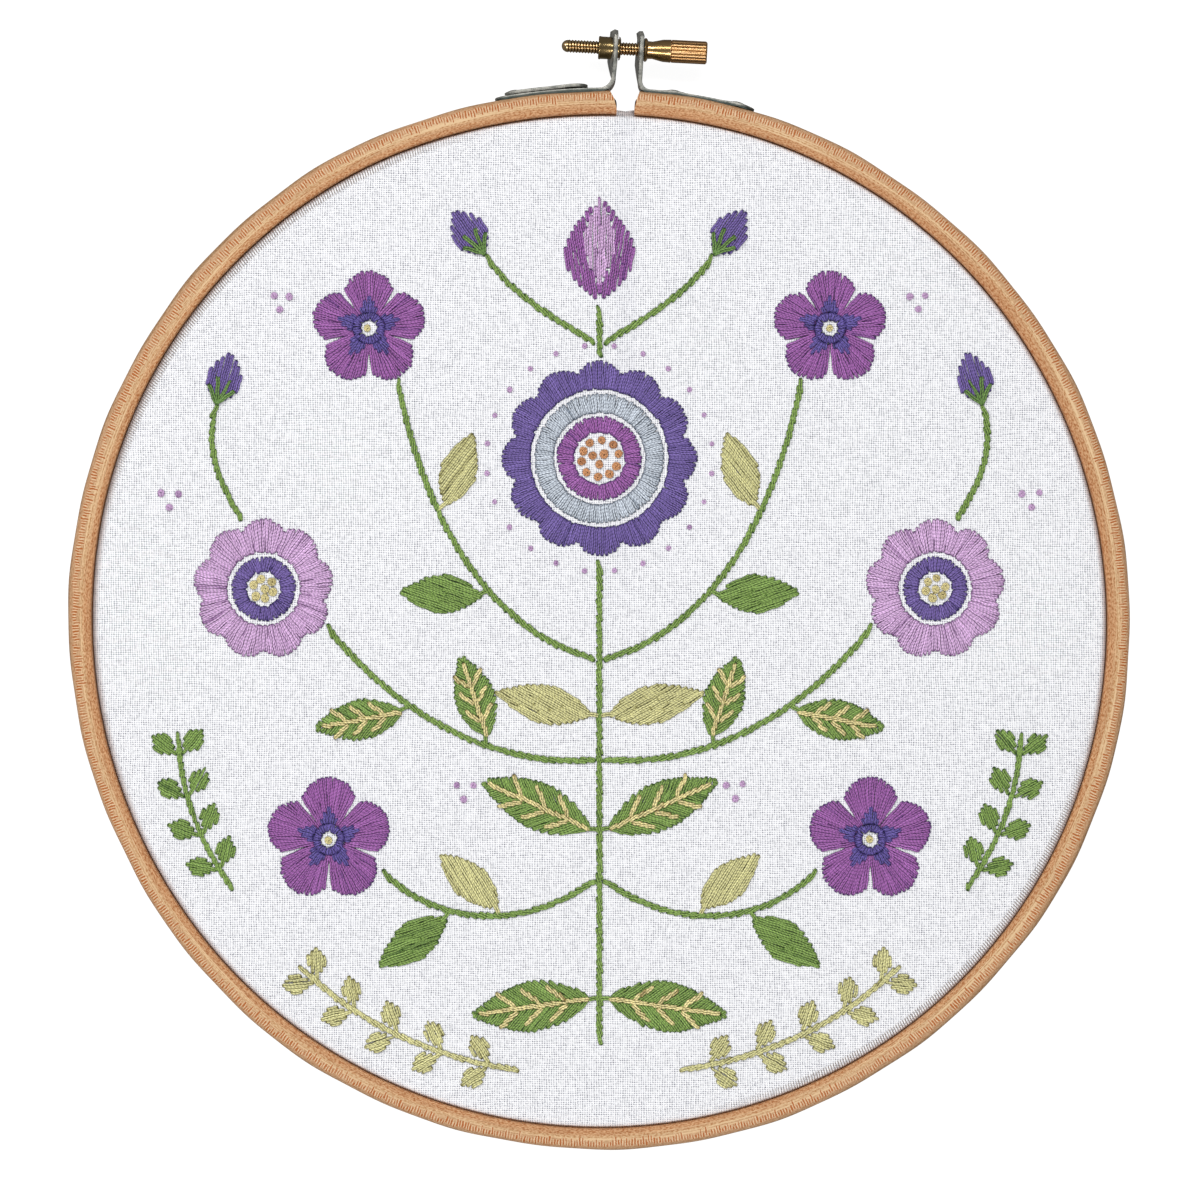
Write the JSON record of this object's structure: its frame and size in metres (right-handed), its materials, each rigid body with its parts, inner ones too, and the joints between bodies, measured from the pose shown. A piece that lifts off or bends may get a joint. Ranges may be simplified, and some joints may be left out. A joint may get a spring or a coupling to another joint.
{
  "type": "embroidery in a wooden hoop",
  "caption": "Round wooden embroidery hoop with a brass clamping screw, holding a taut white cloth stitched with a spray of flowers and leaves.",
  "frame": {"origin": "middle of the footprint on the surface that the hoop lies on; the hoop's own centre is 6 mm towards -Y of it", "axes": "+Z out of the embroidered face, +Y towards the clamping screw, +X to the right when the screw is at the top"},
  "size_m": [0.2122, 0.2242, 0.0105],
  "materials": {
    "beech": "bare sanded beech, satin",
    "cloth": "plain woven white linen cotton, matte",
    "steel": "zinc plated strip, satin",
    "brass": "turned brass, satin, a little tarnished",
    "thread_violet": "stranded cotton, soft sheen",
    "thread_purple": "stranded cotton, soft sheen",
    "thread_lilac": "stranded cotton, soft sheen",
    "thread_green": "stranded cotton, soft sheen"
  },
  "bodies": {
    "hoop": {"blossom_high_left": "thread_purple", "blossom_high_right": "thread_purple", "blossom_low_left": "thread_purple", "blossom_low_right": "thread_purple", "bracket_left": "steel", "bracket_right": "steel", "bud_side_left": "thread_violet", "bud_side_right": "thread_violet", "bud_tip_left": "thread_violet", "bud_tip_right": "thread_violet", "cloth": "cloth", "inner_hoop": "beech", "leaf_1_left": "thread_green", "leaf_1_right": "thread_green", "leaf_2_left": "thread_green", "leaf_2_right": "thread_green", "leaf_3_left": "thread_green", "leaf_3_right": "thread_green", "leaf_4_left": "thread_green", "leaf_4_right": "thread_green", "leaf_5_left": "thread_green", "leaf_5_right": "thread_green", "leaf_6_left": "thread_green", "leaf_6_right": "thread_green", "leaf_7_left": "thread_green", "leaf_7_right": "thread_green", "leaf_8_left": "thread_green", "leaf_8_right": "thread_green", "leaf_9_left": "thread_green", "leaf_9_right": "thread_green", "nut": "brass", "outer_hoop": "beech", "rivet_left_1": "steel", "rivet_left_2": "steel", "rivet_right_1": "steel", "rivet_right_2": "steel", "rosette_centre": "thread_violet", "rosette_side_left": "thread_lilac", "rosette_side_right": "thread_lilac", "stem_low_left": "thread_green", "stem_low_right": "thread_green", "stem_main": "thread_green", "stem_mid_left": "thread_green", "stem_mid_right": "thread_green", "stem_side_left": "thread_green", "stem_side_right": "thread_green", "stem_tip_left": "thread_green", "stem_tip_right": "thread_green", "stem_top": "thread_green", "stem_up_left": "thread_green", "stem_up_right": "thread_green", "tulip": "thread_purple"},
    "clamp_screw": {"screw": "brass"}
  },
  "joints": [
    {"name": "screw_turn", "type": "hinge", "parent": "hoop", "child": "clamp_screw", "pos_m": [0, 0.1083, 0.0058], "axis": [1, 0, 0], "continuous": true}
  ]
}
